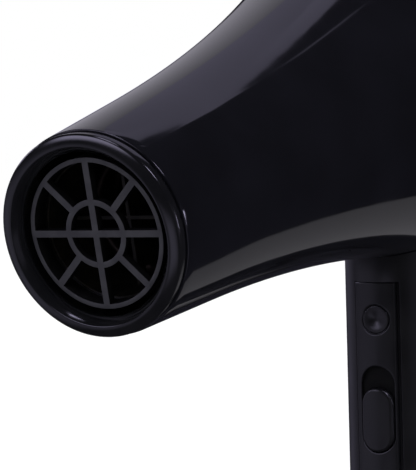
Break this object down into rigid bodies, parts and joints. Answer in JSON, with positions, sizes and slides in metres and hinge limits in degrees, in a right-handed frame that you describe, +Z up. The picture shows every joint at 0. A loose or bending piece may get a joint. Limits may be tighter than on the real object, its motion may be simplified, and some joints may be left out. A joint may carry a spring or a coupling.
{
  "type": "hair dryer",
  "caption": "Travel hair dryer: a flared barrel with a grilled air outlet on a slim upright handle with a speed slider and a cool-shot button.",
  "frame": {"origin": "centre of the handle's flat base, at the mouth of the cord inlet", "axes": "+Z up along the handle, -Y towards the air outlet, +X to the right seen from the outlet's side; the barrel dips 12.7 degrees towards the outlet"},
  "size_m": [0.0896, 0.1933, 0.2018],
  "materials": {
    "gloss_black_abs": "high gloss, black",
    "satin_black_abs": "satin, black",
    "matte_black_nylon": "matte, dark grey",
    "housing_plastic": "natural heat-proof nylon",
    "mica": "silvery mica sheet",
    "resistance_wire": "bright nickel-chrome wire",
    "zinc_steel": "zinc-plated steel",
    "steel_mesh": "woven steel mesh",
    "silicon_steel": "stacked laminations",
    "ferrite": "dull grey ferrite",
    "bronze": "sintered bronze",
    "copper_wire": "enamelled copper wire",
    "brass_plate": "bright brass",
    "circuit_laminate": "green laminate",
    "black_phenolic": "black moulding compound",
    "white_nylon": "white nylon",
    "lead_sleeve": "red silicone sleeve",
    "black_rubber": "soft black rubber",
    "chrome_screw": "nickel plated"
  },
  "bodies": {
    "housing": {"barrel_shell": "gloss_black_abs", "outlet_ring": "satin_black_abs", "handle_shell": "satin_black_abs", "handle_front_panel": "satin_black_abs", "handle_end_cap": "satin_black_abs", "outlet_grille": "matte_black_nylon", "intake_guard": "matte_black_nylon", "cord_gland": "black_rubber", "cord_retainer": "matte_black_nylon", "cord_retainer_screws": "zinc_steel", "handle_screw": "zinc_steel", "neck_screw": "zinc_steel", "board_screws": "zinc_steel", "motor_housing_screws": "zinc_steel", "motor_screws": "chrome_screw", "heater_tube": "zinc_steel", "mica_liner": "mica", "mica_board_vertical": "mica", "mica_board_horizontal": "mica", "heating_coil": "resistance_wire", "thermal_cutout": "brass_plate", "thermal_fuse": "white_nylon", "duct_cone": "housing_plastic", "motor_housing": "housing_plastic", "motor_can": "zinc_steel", "motor_magnets": "ferrite", "motor_end_cap": "white_nylon", "motor_bushes": "bronze", "motor_terminals": "brass_plate", "rectifier_board": "circuit_laminate", "rectifier_diodes": "black_phenolic", "slide_switch": "black_phenolic", "micro_switch": "black_phenolic", "control_board": "circuit_laminate", "motor_leads": "lead_sleeve"},
    "rotor": {"motor_shaft": "chrome_screw", "motor_armature": "silicon_steel", "armature_windings": "copper_wire", "commutator": "copper_wire", "fan_impeller": "housing_plastic"},
    "filter_cover": {"rear_cover": "gloss_black_abs", "filter_mesh": "steel_mesh"},
    "speed_slider": {"slider_knob": "satin_black_abs", "switch_lever": "white_nylon"},
    "cool_button": {"cool_shot_button": "satin_black_abs", "switch_plunger": "white_nylon"}
  },
  "joints": [
    {"name": "fan_spin", "type": "hinge", "parent": "housing", "child": "rotor", "pos_m": [0, -0.0079, 0.15322], "axis": [0, 0.9755, 0.2198], "continuous": true},
    {"name": "filter_cover_slide", "type": "slide", "parent": "housing", "child": "filter_cover", "axis": [0, 0.9755, 0.2198], "range_m": [0, 0.03]},
    {"name": "speed_slide", "type": "slide", "parent": "housing", "child": "speed_slider", "axis": [0, 0, 1], "range_m": [0, 0.0056]},
    {"name": "cool_shot_press", "type": "slide", "parent": "housing", "child": "cool_button", "axis": [0, 1, 0], "range_m": [0, 0.0015], "stiffness_N_per_m": 400, "springref_m": -0.0005}
  ]
}
